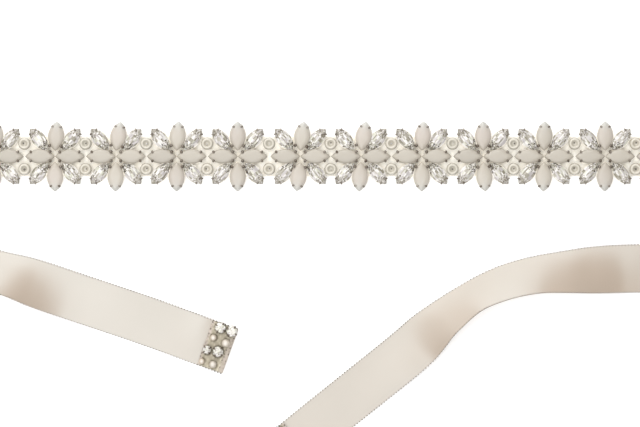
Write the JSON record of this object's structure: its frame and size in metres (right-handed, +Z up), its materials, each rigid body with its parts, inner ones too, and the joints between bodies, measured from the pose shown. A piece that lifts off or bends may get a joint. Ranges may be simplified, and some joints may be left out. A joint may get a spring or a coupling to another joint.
{
  "type": "bridal sash",
  "caption": "Jewelled bridal sash laid flat: a front of opal and crystal flowers on tape, with long satin ribbon ties that curl back to jewelled ends.",
  "frame": {"origin": "middle of the jewelled front, on the underside of its backing tape, on the table's top", "axes": "+X along the jewelled front to the right, +Y to the far side of the table, +Z up from the table"},
  "size_m": [0.857, 0.1879, 0.025],
  "materials": {
    "champagne_satin": "double-faced satin ribbon, soft sheen along its length, fine selvedge loops",
    "ivory_tape": "plain woven ivory tape",
    "opal_and_crystal": "milky opal and foil-backed clear stones, pointed ovals in claw settings",
    "pearl": "pearly, slightly see-through bead",
    "round_crystal": "foil-backed round faceted stone in a claw setting",
    "silver_setting": "darkened silver-coloured metal claws and cups"
  },
  "bodies": {
    "root": {"backing_tape": "ivory_tape", "flower_01": "opal_and_crystal", "flower_02": "opal_and_crystal", "flower_03": "opal_and_crystal", "flower_04": "opal_and_crystal", "flower_05": "opal_and_crystal", "flower_06": "opal_and_crystal", "flower_07": "opal_and_crystal", "flower_08": "opal_and_crystal", "flower_09": "opal_and_crystal", "flower_10": "opal_and_crystal", "flower_11": "opal_and_crystal", "flower_12": "opal_and_crystal", "flower_13": "opal_and_crystal", "pearl_01_far": "pearl", "pearl_01_near": "pearl", "pearl_02_far": "pearl", "pearl_02_near": "pearl", "pearl_03_far": "pearl", "pearl_03_near": "pearl", "pearl_04_far": "pearl", "pearl_04_near": "pearl", "pearl_05_far": "pearl", "pearl_05_near": "pearl", "pearl_06_far": "pearl", "pearl_06_near": "pearl", "pearl_07_far": "pearl", "pearl_07_near": "pearl", "pearl_08_far": "pearl", "pearl_08_near": "pearl", "pearl_09_far": "pearl", "pearl_09_near": "pearl", "pearl_10_far": "pearl", "pearl_10_near": "pearl", "pearl_11_far": "pearl", "pearl_11_near": "pearl", "pearl_12_far": "pearl", "pearl_12_near": "pearl", "ribbon_tie_left": "champagne_satin", "ribbon_tie_right": "champagne_satin", "tip_left_binding": "ivory_tape", "tip_left_chaton_1": "round_crystal", "tip_left_chaton_2": "round_crystal", "tip_left_chaton_3": "round_crystal", "tip_left_chaton_4": "round_crystal", "tip_left_pearl_1": "pearl", "tip_left_pearl_2": "pearl", "tip_left_pearl_3": "pearl", "tip_left_pearl_4": "pearl", "tip_right_binding": "ivory_tape", "tip_right_chaton_1": "round_crystal", "tip_right_chaton_2": "round_crystal", "tip_right_chaton_3": "round_crystal", "tip_right_chaton_4": "round_crystal", "tip_right_pearl_1": "pearl", "tip_right_pearl_2": "pearl", "tip_right_pearl_3": "pearl", "tip_right_pearl_4": "pearl"}
  },
  "joints": []
}
